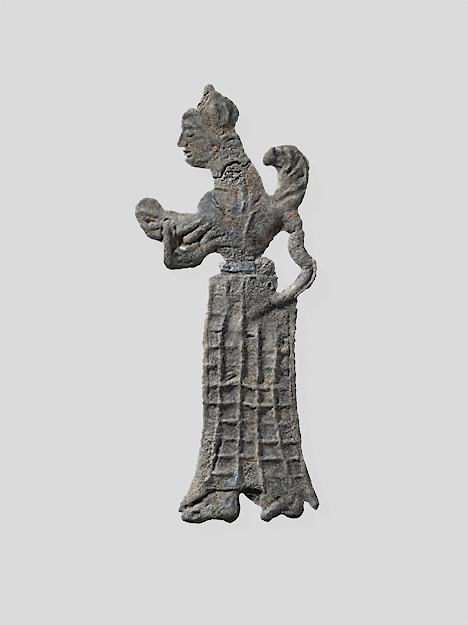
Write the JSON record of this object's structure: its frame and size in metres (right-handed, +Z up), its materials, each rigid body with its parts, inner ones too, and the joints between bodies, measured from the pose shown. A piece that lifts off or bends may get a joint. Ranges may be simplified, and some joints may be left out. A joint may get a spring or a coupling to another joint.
{
  "type": "votive figurine",
  "caption": "Flat cast lead votive figurine of a winged woman in profile, arms held forward, in a long chequered skirt; plain flat back, worn, corroded and mended.",
  "frame": {"origin": "centre of the bounding box's footprint, on the flat back on which the figurine lies", "axes": "+Z up out of the relief, away from the flat back; +Y from the feet to the head; +X towards the wing, the figure's own back, as the figure faces -X"},
  "size_m": [0.0377, 0.09, 0.0027],
  "materials": {
    "lead": null
  },
  "bodies": {
    "root": {"winged_figure": "lead"}
  },
  "joints": []
}
